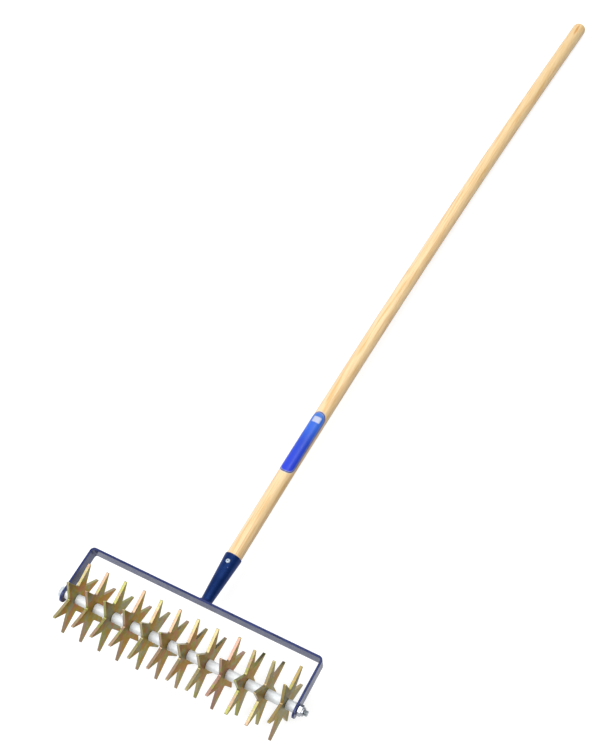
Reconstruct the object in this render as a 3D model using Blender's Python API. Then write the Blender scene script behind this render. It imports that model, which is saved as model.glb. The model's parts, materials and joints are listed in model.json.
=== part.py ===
"""Rotary star cultivator: a bent flat bar carries an axle bolt with loose star wheels and the spacer tubes
between them, and a conical socket welded on the bar holds a long wooden handle.

Metres, +Z up. The tool lies on the floor on its star tips and on the butt of its handle, the axle along X and
the handle along +Y. The yoke, socket, weld bead, handle, rivet, bolt, nut and nut insert are one frame. Each
star wheel and each spacer turns by itself on the axle bolt, so each has its origin on the bolt's axis.

Every piece is modelled in the tool's own frame, with the axle bolt's middle at the origin. The empty "tool"
then lays the whole tool down.
"""

import math

import bmesh
import bpy
from mathutils import Matrix, Vector

# Clearances
SEAT_GAP = 0.0003
BORE_GAP = 0.0003

# Star wheels, flat steel with straight tines, counted from the bolt head's side
STAR_COUNT = 12
TINE_COUNT = 6
STAR_TIP_RADIUS = 0.0615
STAR_ROOT_RADIUS = 0.0255
STAR_TIP_ROUNDING = 0.0012
STAR_ROOT_FILLET = 0.0025
STAR_THICKNESS = 0.005
STAR_TURNS_DEG = (29.6, 29.3, 30.5, 29.1, 35.0, 35.7, 39.4, 39.8, 30.0, 49.0, 52.0, 22.3)

# Spacer tubes
SPACER_DIAMETER = 0.017
SPACER_LENGTH = 0.0303
END_SPACER_LENGTH = 0.0157

# Axle bolt
AXLE_DIAMETER = 0.010
AXLE_PAST_NUT = 0.006
AXLE_END_CHAMFER = 0.0008
HEX_WIDTH = 0.017
HEX_CHAMFER_DEG = 30.0
BOLT_HEAD_HEIGHT = 0.007
BOLT_HEAD_TURN_DEG = 2.0

# Lock nut and the nylon ring held under its rolled lip
NUT_HEX_HEIGHT = 0.0068
NUT_TURN_DEG = 9.0
COLLAR_HEIGHT = 0.0032
COLLAR_DIAMETER = 0.015
COLLAR_WALL = 0.001
COLLAR_LIP = 0.0005
INSERT_LENGTH = 0.0022

# Yoke, one flat bar bent twice
BAR_WIDTH = 0.025
BAR_THICKNESS = 0.004
BEND_RADIUS = 0.004
AXLE_TO_BAR_FACE = 0.0884
AXLE_TO_ARM_END = 0.016

# Socket and its weld bead
SOCKET_LENGTH = 0.0915
SOCKET_BASE_DIAMETER = 0.0192
SOCKET_WALL = 0.0012
SOCKET_LEAN_DEG = 0.97
SOCKET_RISE_DEG = 1.1
WELD_LEG = 0.0035
WELD_BULGE = 0.0003

# Handle
HANDLE_DIAMETER = 0.028
HANDLE_SEAT_LENGTH = 0.064
HANDLE_FREE_LENGTH = 1.436
HANDLE_BOW = 0.039
HANDLE_BUTT_ROUNDING = 0.012

# Rivet through the socket into the handle
RIVET_FROM_RIM = 0.0149
RIVET_HEAD_DIAMETER = 0.0078
RIVET_HEAD_HEIGHT = 0.0016
RIVET_SHANK_DIAMETER = 0.004
RIVET_SHANK_LENGTH = 0.009
RIVET_EYE_DIAMETER = 0.0022
RIVET_EYE_DEPTH = 0.0012

# How finely curves are divided
TURN_SEGMENTS = 28
SMALL_TURN_SEGMENTS = 20
HEX_BLANK_SEGMENTS = 36
TIP_ARC_STEPS = 4
ROOT_ARC_STEPS = 3
BEND_STEPS = 6
ARM_END_STEPS = 18
DOME_STEPS = 5
BOW_STEPS = 24
SHARP_ANGLE_DEG = 35.0
MERGE_DISTANCE = 0.000001
REST_PASSES = 6

# What follows from the sizes above
BORE_RADIUS = AXLE_DIAMETER / 2 + BORE_GAP
SPACER_COUNT = STAR_COUNT + 1
YOKE_INNER_WIDTH = (
    STAR_COUNT * STAR_THICKNESS
    + (SPACER_COUNT - 2) * SPACER_LENGTH
    + 2 * END_SPACER_LENGTH
    + (STAR_COUNT + SPACER_COUNT + 1) * SEAT_GAP
)
YOKE_OUTER_WIDTH = YOKE_INNER_WIDTH + 2 * BAR_THICKNESS
NUT_FACE_X = YOKE_OUTER_WIDTH / 2 + SEAT_GAP
NUT_HEIGHT = NUT_HEX_HEIGHT + COLLAR_HEIGHT
SOCKET_RIM_RADIUS = HANDLE_DIAMETER / 2 + SEAT_GAP + SOCKET_WALL
SOCKET_SLOPE = (SOCKET_RIM_RADIUS - SOCKET_BASE_DIAMETER / 2) / SOCKET_LENGTH

# A turned piece is made along Z, and these matrices lay it along X or stand a flat plate across X
Z_TO_X = Matrix.Rotation(math.pi / 2, 4, "Y")
PLATE_ACROSS_X = Matrix(((0, 0, 1, 0), (1, 0, 0, 0), (0, 1, 0, 0), (0, 0, 0, 1)))


def clear_scene():
    for obj in list(bpy.data.objects):
        bpy.data.objects.remove(obj, do_unlink=True)


def surface(name, colour, metallic, roughness):
    made = bpy.data.materials.new(name)
    made.use_nodes = True
    shader = made.node_tree.nodes["Principled BSDF"]
    shader.inputs["Base Color"].default_value = (*colour, 1.0)
    shader.inputs["Metallic"].default_value = metallic
    shader.inputs["Roughness"].default_value = roughness
    return made


def surfaces():
    return {
        "blue_paint": surface("blue_paint", (0.025, 0.05, 0.16), 0.0, 0.35),
        "weld_paint": surface("weld_paint", (0.022, 0.045, 0.15), 0.0, 0.4),
        "zinc_yellow": surface("zinc_yellow", (0.42, 0.32, 0.12), 1.0, 0.4),
        "zinc_white": surface("zinc_white", (0.78, 0.80, 0.85), 1.0, 0.3),
        "nut_steel": surface("nut_steel", (0.72, 0.74, 0.76), 1.0, 0.25),
        "nylon": surface("nylon", (0.05, 0.16, 0.2), 0.0, 0.5),
        "ash_wood": surface("ash_wood", (0.80, 0.60, 0.34), 0.0, 0.5),
        "rivet_steel": surface("rivet_steel", (0.85, 0.87, 0.9), 1.0, 0.25),
    }


def empty(name, parent=None):
    made = bpy.data.objects.new(name, None)
    bpy.context.scene.collection.objects.link(made)
    made.parent = parent
    return made


def object_from(bm, name, parent, material=None):
    """Links a finished bmesh as one object, smooth except at its real edges."""
    bmesh.ops.recalc_face_normals(bm, faces=bm.faces[:])
    mesh = bpy.data.meshes.new(name)
    bm.to_mesh(mesh)
    bm.free()
    mesh.shade_smooth()
    mesh.set_sharp_from_angle(angle=math.radians(SHARP_ANGLE_DEG))
    made = bpy.data.objects.new(name, mesh)
    bpy.context.scene.collection.objects.link(made)
    made.parent = parent
    if material:
        mesh.materials.append(material)
    return made


def helper_from(bm, name, parent):
    """A cutter or a joining shape, which isn't rendered."""
    made = object_from(bm, name, parent)
    made.hide_render = True
    made.display_type = "WIRE"
    return made


def combine(target, other, operation):
    step = target.modifiers.new(f"{operation.lower()}_{other.name}", "BOOLEAN")
    step.operation = operation
    step.solver = "EXACT"
    step.object = other


def turned(section, segments, ring=False):
    """Spins (radius, height) points about Z: a solid whose section starts and ends on the axis, or a ring."""
    bm = bmesh.new()
    verts = [bm.verts.new((radius, 0.0, height)) for radius, height in section]
    pairs = zip(verts, verts[1:] + verts[:1]) if ring else zip(verts, verts[1:])
    edges = [bm.edges.new(pair) for pair in pairs]
    bmesh.ops.spin(
        bm,
        geom=verts + edges,
        cent=(0.0, 0.0, 0.0),
        axis=(0.0, 0.0, 1.0),
        dvec=(0.0, 0.0, 0.0),
        angle=2 * math.pi,
        steps=segments,
        use_merge=True,
    )
    bmesh.ops.remove_doubles(bm, verts=bm.verts[:], dist=MERGE_DISTANCE)
    return bm


def circle(radius, segments, centre=(0.0, 0.0)):
    angles = [2 * math.pi * step / segments for step in range(segments)]
    return [(centre[0] + radius * math.cos(a), centre[1] + radius * math.sin(a)) for a in angles]


def rounded(corners):
    """Turns (point, radius, steps) corners into an outline whose corners are arcs."""
    outline = []
    for index, (corner, radius, steps) in enumerate(corners):
        to_last = (corners[index - 1][0] - corner).normalized()
        to_next = (corners[(index + 1) % len(corners)][0] - corner).normalized()
        half = to_last.angle(to_next) / 2
        centre = corner + (to_last + to_next).normalized() * radius / math.sin(half)
        start = corner + to_last * radius / math.tan(half) - centre
        sweep = start.angle_signed(corner + to_next * radius / math.tan(half) - centre)
        for step in range(steps + 1):
            outline.append(centre + start @ Matrix.Rotation(sweep * step / steps, 2))
    return outline


def plate(loops, thickness, cross_lines=()):
    """A flat plate in XY, its outline first and its holes after, with extra edges across it at these X."""
    bm = bmesh.new()
    for loop in loops:
        verts = [bm.verts.new((x, y, -thickness / 2)) for x, y in loop]
        for pair in zip(verts, verts[1:] + verts[:1]):
            bm.edges.new(pair)
    bmesh.ops.triangle_fill(bm, edges=bm.edges[:], use_beauty=True, normal=(0.0, 0.0, 1.0))
    for x in cross_lines:
        parts = bm.verts[:] + bm.edges[:] + bm.faces[:]
        bmesh.ops.bisect_plane(
            bm, geom=parts, dist=MERGE_DISTANCE, plane_co=(x, 0.0, 0.0), plane_no=(1.0, 0.0, 0.0)
        )
    raised = bmesh.ops.extrude_face_region(bm, geom=bm.faces[:])["geom"]
    top = [item for item in raised if isinstance(item, bmesh.types.BMVert)]
    bmesh.ops.translate(bm, verts=top, vec=(0.0, 0.0, thickness))
    return bm


def hex_prism(height, turn_deg):
    corner_radius = HEX_WIDTH / math.sqrt(3)
    turn = math.radians(turn_deg)
    corners = [turn + math.pi / 3 * corner for corner in range(6)]
    outline = [(corner_radius * math.cos(a), corner_radius * math.sin(a)) for a in corners]
    bm = plate([outline], height)
    bmesh.ops.translate(bm, verts=bm.verts[:], vec=(0.0, 0.0, height / 2))
    return bm


def chamfer_blank(height):
    """The turned shape whose cone takes the corners off a hexagon's outer face at Z = height."""
    corner_radius = HEX_WIDTH / math.sqrt(3)
    slope = math.tan(math.radians(HEX_CHAMFER_DEG))
    face_radius = HEX_WIDTH / 2 - SEAT_GAP
    reach = HEX_WIDTH
    return turned(
        [
            (0.0, -reach),
            (corner_radius + reach, -reach),
            (corner_radius + reach, height - (corner_radius + reach - face_radius) * slope),
            (face_radius, height),
            (0.0, height),
        ],
        HEX_BLANK_SEGMENTS,
    )


def star_outline():
    """Straight-sided tines: the sharp tip is where the lines that touch the tip's rounding meet."""
    step = math.pi / TINE_COUNT
    centre = STAR_TIP_RADIUS - STAR_TIP_ROUNDING
    root = Vector((STAR_ROOT_RADIUS * math.cos(step), STAR_ROOT_RADIUS * math.sin(step)))
    to_root = root - Vector((centre, 0.0))
    half_arc = math.atan2(to_root.y, to_root.x) - math.acos(STAR_TIP_ROUNDING / to_root.length)
    sharp_tip = centre + STAR_TIP_ROUNDING / math.cos(half_arc)
    corners = []
    for tine in range(TINE_COUNT):
        angle = 2 * step * tine
        tip = Vector((math.cos(angle), math.sin(angle))) * sharp_tip
        valley = Vector((math.cos(angle + step), math.sin(angle + step))) * STAR_ROOT_RADIUS
        corners.append((tip, STAR_TIP_ROUNDING, TIP_ARC_STEPS))
        corners.append((valley, STAR_ROOT_FILLET, ROOT_ARC_STEPS))
    return rounded(corners)


def star_wheel(name, tool, material, x, turn_deg):
    bm = plate([star_outline(), circle(BORE_RADIUS, TURN_SEGMENTS)], STAR_THICKNESS)
    bm.transform(PLATE_ACROSS_X)
    star = object_from(bm, name, tool, material)
    star.location = (x, 0.0, 0.0)
    star.rotation_euler = (math.radians(turn_deg), 0.0, 0.0)


def spacer(name, tool, material, x, length):
    outer, half = SPACER_DIAMETER / 2, length / 2
    section = [(outer, half), (outer, -half), (BORE_RADIUS, -half), (BORE_RADIUS, half)]
    bm = turned(section, TURN_SEGMENTS, ring=True)
    bm.transform(Z_TO_X)
    tube = object_from(bm, name, tool, material)
    tube.location = (x, 0.0, 0.0)


def axle_stack(tool, star_material, spacer_material):
    """Spacers and star wheels by turns, from one arm's inner face to the other's."""
    x = -YOKE_INNER_WIDTH / 2 + SEAT_GAP
    for number in range(1, SPACER_COUNT + 1):
        at_end = number in (1, SPACER_COUNT)
        length = END_SPACER_LENGTH if at_end else SPACER_LENGTH
        spacer(f"spacer_{number:02d}", tool, spacer_material, x + length / 2, length)
        x += length + SEAT_GAP
        if number > STAR_COUNT:
            continue
        turn_deg = STAR_TURNS_DEG[(number - 1) % len(STAR_TURNS_DEG)]
        star_wheel(f"star_{number:02d}", tool, star_material, x + STAR_THICKNESS / 2, turn_deg)
        x += STAR_THICKNESS + SEAT_GAP


def axle_bolt(tool, material):
    """A hexagon bolt along X, its head outside one arm and its end past the lock nut."""
    face_x = -NUT_FACE_X
    end_x = NUT_FACE_X + NUT_HEIGHT + AXLE_PAST_NUT
    away = Matrix.Translation((face_x, 0.0, 0.0)) @ Matrix.Rotation(-math.pi / 2, 4, "Y")
    head_bm = hex_prism(BOLT_HEAD_HEIGHT, 90.0 - BOLT_HEAD_TURN_DEG)
    head_bm.transform(away)
    blank_bm = chamfer_blank(BOLT_HEAD_HEIGHT)
    blank_bm.transform(away)
    radius = AXLE_DIAMETER / 2
    end_radius = radius - AXLE_END_CHAMFER
    inside_head = face_x - BOLT_HEAD_HEIGHT / 2
    section = [(0.0, inside_head), (radius, inside_head), (radius, end_x - AXLE_END_CHAMFER)]
    shank_bm = turned(section + [(end_radius, end_x), (0.0, end_x)], TURN_SEGMENTS)
    shank_bm.transform(Z_TO_X)
    bolt = object_from(head_bm, "axle_bolt", tool, material)
    combine(bolt, helper_from(blank_bm, "bolt_head_blank", tool), "INTERSECT")
    combine(bolt, helper_from(shank_bm, "bolt_shank", tool), "UNION")


def lock_nut(tool, material, insert_material):
    """A hexagon nut with a round collar, whose rolled lip keeps the nylon ring in."""
    lip_radius = COLLAR_DIAMETER / 2 - COLLAR_WALL - COLLAR_LIP
    seat_radius = COLLAR_DIAMETER / 2 - COLLAR_WALL
    seat_end = NUT_HEIGHT - COLLAR_LIP
    seat_start = seat_end - INSERT_LENGTH - 2 * SEAT_GAP
    place = Matrix.Translation((NUT_FACE_X, 0.0, 0.0)) @ Z_TO_X
    nut_bm = hex_prism(NUT_HEX_HEIGHT, NUT_TURN_DEG + 90.0)
    blank_bm = chamfer_blank(NUT_HEX_HEIGHT)
    collar = [
        (0.0, NUT_HEX_HEIGHT / 2),
        (COLLAR_DIAMETER / 2, NUT_HEX_HEIGHT / 2),
        (COLLAR_DIAMETER / 2, seat_end),
        (COLLAR_DIAMETER / 2 - COLLAR_LIP, NUT_HEIGHT),
        (0.0, NUT_HEIGHT),
    ]
    bore = [
        (0.0, -NUT_HEIGHT),
        (BORE_RADIUS, -NUT_HEIGHT),
        (BORE_RADIUS, seat_start),
        (seat_radius, seat_start),
        (seat_radius, seat_end),
        (lip_radius, seat_end),
        (lip_radius, 2 * NUT_HEIGHT),
        (0.0, 2 * NUT_HEIGHT),
    ]
    ring_outer, ring_start = seat_radius - SEAT_GAP, seat_start + SEAT_GAP
    ring = [
        (ring_outer, ring_start + INSERT_LENGTH),
        (ring_outer, ring_start),
        (BORE_RADIUS, ring_start),
        (BORE_RADIUS, ring_start + INSERT_LENGTH),
    ]
    collar_bm, bore_bm = turned(collar, TURN_SEGMENTS), turned(bore, TURN_SEGMENTS)
    ring_bm = turned(ring, TURN_SEGMENTS, ring=True)
    for bm in (nut_bm, blank_bm, collar_bm, bore_bm, ring_bm):
        bm.transform(place)
    nut = object_from(nut_bm, "lock_nut", tool, material)
    combine(nut, helper_from(blank_bm, "nut_blank", tool), "INTERSECT")
    combine(nut, helper_from(collar_bm, "nut_collar", tool), "UNION")
    combine(nut, helper_from(bore_bm, "nut_bore", tool), "DIFFERENCE")
    object_from(ring_bm, "lock_nut_insert", tool, insert_material)


def yoke(tool, material):
    """A flat blank with round ends and a hole near each, bent down over two mandrels."""
    half_top = YOKE_INNER_WIDTH / 2 - BEND_RADIUS
    middle_radius = BEND_RADIUS + BAR_THICKNESS / 2
    bend_length = middle_radius * math.pi / 2
    bend_y = AXLE_TO_BAR_FACE - BAR_THICKNESS - BEND_RADIUS
    hole_at = half_top + bend_length + bend_y
    end_centre = hole_at + AXLE_TO_ARM_END - BAR_WIDTH / 2

    def bent(vertex):
        """Where a point of the flat blank goes: X runs along the bar and Z through its thickness."""
        side = math.copysign(1.0, vertex.x)
        along, outward = abs(vertex.x), middle_radius + vertex.z
        if along <= half_top:
            return Vector((vertex.x, bend_y + outward, vertex.y))
        angle = min((along - half_top) / middle_radius, math.pi / 2)
        past_bend = max(along - half_top - bend_length, 0.0)
        x = half_top + outward * math.sin(angle)
        return Vector((side * x, bend_y + outward * math.cos(angle) - past_bend, vertex.y))

    outline = []
    for side in (1.0, -1.0):
        for step in range(ARM_END_STEPS + 1):
            angle = math.pi * (step / ARM_END_STEPS - 0.5)
            x = end_centre + BAR_WIDTH / 2 * math.cos(angle)
            outline.append((side * x, side * BAR_WIDTH / 2 * math.sin(angle)))
    holes = [circle(BORE_RADIUS, TURN_SEGMENTS, (side * hole_at, 0.0)) for side in (1.0, -1.0)]
    bends = [half_top + bend_length * step / BEND_STEPS for step in range(BEND_STEPS + 1)]
    bm = plate([outline] + holes, BAR_THICKNESS, bends + [-x for x in bends])
    for vertex in bm.verts:
        vertex.co = bent(vertex.co)
    object_from(bm, "yoke", tool, material)


def handle_line(tool):
    """An empty on the bar's face whose Z runs up the handle, whose X is the side that the handle bows to and
    whose -Y faces up."""
    line = empty("handle_line", tool)
    line.location = (0.0, AXLE_TO_BAR_FACE, 0.0)
    line.rotation_euler = (
        math.radians(SOCKET_RISE_DEG - 90.0),
        0.0,
        math.radians(-SOCKET_LEAN_DEG),
    )
    return line


def socket_radius(height):
    return SOCKET_BASE_DIAMETER / 2 + SOCKET_SLOPE * height


def bar_face_cutter(tool):
    """Takes the foot of the socket and of its bead off level with the bar."""
    reach = SOCKET_BASE_DIAMETER / 2 + 2 * WELD_LEG
    bm = bmesh.new()
    bmesh.ops.create_cube(bm, size=2 * reach)
    bmesh.ops.translate(bm, verts=bm.verts[:], vec=(0.0, AXLE_TO_BAR_FACE + SEAT_GAP - reach, 0.0))
    return helper_from(bm, "bar_face_cutter", tool)


def rivet_frame(line):
    """An empty on the socket's upper side, its Z square to the cone."""
    height = SOCKET_LENGTH - RIVET_FROM_RIM
    frame = empty("rivet_line", line)
    frame.location = (0.0, -socket_radius(height), height)
    frame.rotation_euler = (math.pi / 2 + math.atan(SOCKET_SLOPE), 0.0, 0.0)
    return frame


def rivet_hole(frame):
    radius = RIVET_SHANK_DIAMETER / 2 + SEAT_GAP
    low, high = -RIVET_SHANK_LENGTH - SEAT_GAP, RIVET_HEAD_DIAMETER / 2
    section = [(0.0, low), (radius, low), (radius, high), (0.0, high)]
    return helper_from(turned(section, SMALL_TURN_SEGMENTS), "rivet_hole", frame)


def rivet(frame, material):
    """A blind rivet: a domed head with the mandrel's hole in it, and its shank."""
    eye, head, shank = RIVET_EYE_DIAMETER / 2, RIVET_HEAD_DIAMETER / 2, RIVET_SHANK_DIAMETER / 2
    section = [(0.0, -RIVET_SHANK_LENGTH), (shank, -RIVET_SHANK_LENGTH), (shank, SEAT_GAP)]
    crown = math.acos(eye / head)
    for step in range(DOME_STEPS + 1):
        angle = crown * step / DOME_STEPS
        height = SEAT_GAP + RIVET_HEAD_HEIGHT * math.sin(angle)
        section.append((head * math.cos(angle), height))
    floor = section[-1][1] - RIVET_EYE_DEPTH
    section += [(eye, floor), (0.0, floor)]
    object_from(turned(section, SMALL_TURN_SEGMENTS), "handle_rivet", frame, material)


def socket(line, material, cutters):
    """A conical tube, made too long at its foot and then cut level with the bar."""
    foot = -WELD_LEG
    section = [
        (SOCKET_RIM_RADIUS, SOCKET_LENGTH),
        (socket_radius(foot), foot),
        (socket_radius(foot) - SOCKET_WALL, foot),
        (SOCKET_RIM_RADIUS - SOCKET_WALL, SOCKET_LENGTH),
    ]
    tube = object_from(turned(section, TURN_SEGMENTS, ring=True), "socket", line, material)
    for cutter in cutters:
        combine(tube, cutter, "DIFFERENCE")


def weld_bead(line, material, cutter):
    """A bulging fillet of weld round the foot of the socket."""
    foot, top = -WELD_LEG, SEAT_GAP + WELD_LEG
    face = [
        (socket_radius(top) + SEAT_GAP, top),
        (socket_radius(top / 2) + SEAT_GAP + WELD_LEG / 2 + WELD_BULGE, SEAT_GAP + WELD_LEG / 2),
        (socket_radius(0.0) + SEAT_GAP + WELD_LEG, SEAT_GAP),
    ]
    section = face + [
        (socket_radius(0.0) + SEAT_GAP + WELD_LEG, foot),
        (socket_radius(foot) + SEAT_GAP, foot),
    ]
    bead = object_from(turned(section, TURN_SEGMENTS, ring=True), "weld_bead", line, material)
    combine(bead, cutter, "DIFFERENCE")


def handle_stations():
    """Centres and radii up the handle: its cone in the socket, the bowed shaft and the rounded butt."""
    seat = SOCKET_LENGTH - HANDLE_SEAT_LENGTH
    radius = HANDLE_DIAMETER / 2
    stations = [(Vector((0.0, 0.0, seat)), socket_radius(seat) - SOCKET_WALL - SEAT_GAP)]
    straight = HANDLE_FREE_LENGTH - HANDLE_BUTT_ROUNDING
    lengths = [(straight * step / BOW_STEPS, radius) for step in range(BOW_STEPS + 1)]
    for step in range(1, DOME_STEPS + 1):
        angle = math.pi / 2 * step / (DOME_STEPS + 1)
        lengths.append((straight + HANDLE_BUTT_ROUNDING * math.sin(angle), radius * math.cos(angle)))
    for length, station_radius in lengths:
        bow = HANDLE_BOW * (length / HANDLE_FREE_LENGTH) ** 2
        stations.append((Vector((bow, 0.0, SOCKET_LENGTH + length)), station_radius))
    return stations


def handle(line, material, cutter):
    """Rings square to the bowed centreline, skinned into one round stick."""
    stations = handle_stations()
    centres = [centre for centre, _ in stations]
    bm = bmesh.new()
    rings = []
    for index, (centre, radius) in enumerate(stations):
        along = centres[min(index + 1, len(centres) - 1)] - centres[max(index - 1, 0)]
        lean = math.atan2(along.x, along.z)
        turn = Matrix.Translation(centre) @ Matrix.Rotation(lean, 4, "Y")
        points = [turn @ Vector((x, y, 0.0)) for x, y in circle(radius, TURN_SEGMENTS)]
        rings.append([bm.verts.new(point) for point in points])
    for lower, upper in zip(rings, rings[1:]):
        for side in range(TURN_SEGMENTS):
            after = (side + 1) % TURN_SEGMENTS
            bm.faces.new((lower[side], lower[after], upper[after], upper[side]))
    bm.faces.new(rings[0])
    tip = bm.verts.new(centres[-1] + Vector((0.0, 0.0, HANDLE_BUTT_ROUNDING - dome_height())))
    for side in range(TURN_SEGMENTS):
        bm.faces.new((rings[-1][side], rings[-1][(side + 1) % TURN_SEGMENTS], tip))
    stick = object_from(bm, "handle", line, material)
    combine(stick, cutter, "DIFFERENCE")


def dome_height():
    """How far the last ring of the butt's dome stands above the dome's foot."""
    return HANDLE_BUTT_ROUNDING * math.sin(math.pi / 2 * DOME_STEPS / (DOME_STEPS + 1))


def points_of(pieces):
    """Every vertex of these objects as built, in world space."""
    bpy.context.view_layer.update()
    graph = bpy.context.evaluated_depsgraph_get()
    points = []
    for piece in pieces:
        built = piece.evaluated_get(graph)
        mesh = built.to_mesh()
        points += [built.matrix_world @ vertex.co for vertex in mesh.vertices]
        built.to_mesh_clear()
    return points


def lay_on_floor(tool):
    """Tips the tool until a star tip and the butt rest on one level, with the origin under its middle."""
    pieces = [obj for obj in bpy.data.objects if obj.type == "MESH" and not obj.hide_render]
    points = points_of(pieces)
    star_end = [point for point in points if point.y < AXLE_TO_BAR_FACE]
    butt_end = [point for point in points if point.y > SOCKET_LENGTH + AXLE_TO_BAR_FACE]
    tilt = 0.0
    for _ in range(REST_PASSES):
        down = Vector((0.0, -math.sin(tilt), math.cos(tilt)))
        lowest_star = min(star_end, key=down.dot)
        lowest_butt = min(butt_end, key=down.dot)
        span = lowest_butt - lowest_star
        tilt = math.atan2(span.z, span.y)
    tool.rotation_euler = (-tilt, 0.0, 0.0)
    points = points_of(pieces)
    low = [min(point[axis] for point in points) for axis in range(3)]
    high = [max(point[axis] for point in points) for axis in range(3)]
    tool.location = (-(low[0] + high[0]) / 2, -(low[1] + high[1]) / 2, -low[2])


def build():
    clear_scene()
    look = surfaces()
    tool = empty("tool")
    yoke(tool, look["blue_paint"])
    axle_bolt(tool, look["zinc_white"])
    lock_nut(tool, look["nut_steel"], look["nylon"])
    axle_stack(tool, look["zinc_yellow"], look["zinc_white"])
    line = handle_line(tool)
    bar_face = bar_face_cutter(tool)
    rivet_line = rivet_frame(line)
    hole = rivet_hole(rivet_line)
    socket(line, look["blue_paint"], (bar_face, hole))
    weld_bead(line, look["weld_paint"], bar_face)
    handle(line, look["ash_wood"], hole)
    rivet(rivet_line, look["rivet_steel"])
    lay_on_floor(tool)


build()
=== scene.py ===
"""Looks of the rotary star cultivator: finer pieces, finishes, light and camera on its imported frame.

Each piece is made in a frame of its own, in metres, and then laid where its solid is. The tool's frame
has the axle bolt's middle at the origin, X along the bolt to the nut and Y to the handle. The handle's line
starts on the bar's outer face, with Z up the handle, X to the side that the handle bows to and -Y up.
"""
import json
import math

import bmesh
import bpy
from mathutils import Euler, Matrix, Vector
from mathutils.geometry import tessellate_polygon


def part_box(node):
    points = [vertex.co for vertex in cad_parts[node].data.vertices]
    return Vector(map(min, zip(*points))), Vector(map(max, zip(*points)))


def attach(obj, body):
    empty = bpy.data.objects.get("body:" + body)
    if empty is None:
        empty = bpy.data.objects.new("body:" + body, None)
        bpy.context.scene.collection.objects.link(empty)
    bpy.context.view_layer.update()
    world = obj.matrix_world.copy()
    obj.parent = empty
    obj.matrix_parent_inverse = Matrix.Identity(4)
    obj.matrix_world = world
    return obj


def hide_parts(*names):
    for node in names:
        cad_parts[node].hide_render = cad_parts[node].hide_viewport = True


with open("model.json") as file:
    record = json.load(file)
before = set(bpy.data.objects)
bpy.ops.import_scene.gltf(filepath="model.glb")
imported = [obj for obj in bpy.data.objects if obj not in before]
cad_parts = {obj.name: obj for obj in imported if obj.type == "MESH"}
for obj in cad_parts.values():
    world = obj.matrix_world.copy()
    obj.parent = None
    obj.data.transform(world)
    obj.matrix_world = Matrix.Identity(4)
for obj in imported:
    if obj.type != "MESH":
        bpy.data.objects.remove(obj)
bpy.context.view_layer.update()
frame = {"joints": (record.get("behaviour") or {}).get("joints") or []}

# The solids' sizes in metres, which these pieces keep
SEAT_GAP = 0.0003
STAR_COUNT = 12
TINE_COUNT = 6
STAR_TIP_RADIUS = 0.0615
STAR_ROOT_RADIUS = 0.0255
STAR_TIP_ROUNDING = 0.0012
STAR_ROOT_FILLET = 0.0025
STAR_THICKNESS = 0.005
STAR_TURNS_DEG = (29.6, 29.3, 30.5, 29.1, 35.0, 35.7, 39.4, 39.8, 30.0, 49.0, 52.0, 22.3)
SPACER_DIAMETER = 0.017
SPACER_LENGTH = 0.0303
END_SPACER_LENGTH = 0.0157
AXLE_DIAMETER = 0.010
AXLE_PAST_NUT = 0.006
AXLE_END_CHAMFER = 0.0008
HEX_WIDTH = 0.017
HEX_CHAMFER_DEG = 30.0
BOLT_HEAD_HEIGHT = 0.007
BOLT_HEAD_TURN_DEG = 2.0
NUT_HEX_HEIGHT = 0.0068
NUT_TURN_DEG = 9.0
COLLAR_HEIGHT = 0.0032
COLLAR_DIAMETER = 0.015
COLLAR_WALL = 0.001
COLLAR_LIP = 0.0005
INSERT_LENGTH = 0.0022
BAR_WIDTH = 0.025
BAR_THICKNESS = 0.004
BEND_RADIUS = 0.004
AXLE_TO_BAR_FACE = 0.0884
AXLE_TO_ARM_END = 0.016
SOCKET_LENGTH = 0.0915
SOCKET_BASE_DIAMETER = 0.0192
SOCKET_WALL = 0.0012
SOCKET_LEAN_DEG = 0.97
SOCKET_RISE_DEG = 1.1
WELD_LEG = 0.0035
HANDLE_DIAMETER = 0.028
HANDLE_SEAT_LENGTH = 0.064
HANDLE_FREE_LENGTH = 1.436
HANDLE_BOW = 0.039
HANDLE_BUTT_ROUNDING = 0.012
RIVET_FROM_RIM = 0.0149
RIVET_HEAD_DIAMETER = 0.0078
RIVET_HEAD_HEIGHT = 0.0016
RIVET_SHANK_DIAMETER = 0.004
RIVET_SHANK_LENGTH = 0.009
RIVET_EYE_DIAMETER = 0.0022
RIVET_EYE_DEPTH = 0.0012

# Finer forms that the solids leave out, in metres apart from counts and shares
STAR_EDGE_ROUNDING = 0.00035
BAR_EDGE_ROUNDING = 0.0003
SPACER_EDGE_ROUNDING = 0.0003
HEX_CORNER_ROUNDING = 0.0005
HEX_ARRIS = 0.0001
THREAD_PITCH = 0.0015
THREAD_DEPTH = 0.0009
THREAD_LENGTH = 0.013
THREAD_CREST = 0.125
THREAD_FLANK = 0.3125
WELD_RIPPLES = 22
WELD_RIPPLE_HEIGHT = 0.00025
WELD_BULGE = 0.12
WELD_RIPPLE_BULGE = 0.6
WELD_FACE_ROUNDING = 0.35
RIVET_EYE_TAPER = 0.7
LABEL_START = 0.2657
LABEL_END = 0.3996
LABEL_HALF_WIDTH = 0.0159
LABEL_FOOT_ROUNDING = 0.0145
LABEL_THICKNESS = 0.00012
LABEL_MARGIN = 0.0009
LABEL_EDGE = 0.0018
LABEL_LINE = 0.0010
LABEL_PANEL_START = 0.3765
LABEL_PANEL_END = 0.3885
LABEL_PANEL_HALF_WIDTH = 0.0076
LABEL_PANEL_SHARE = 0.6

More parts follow.
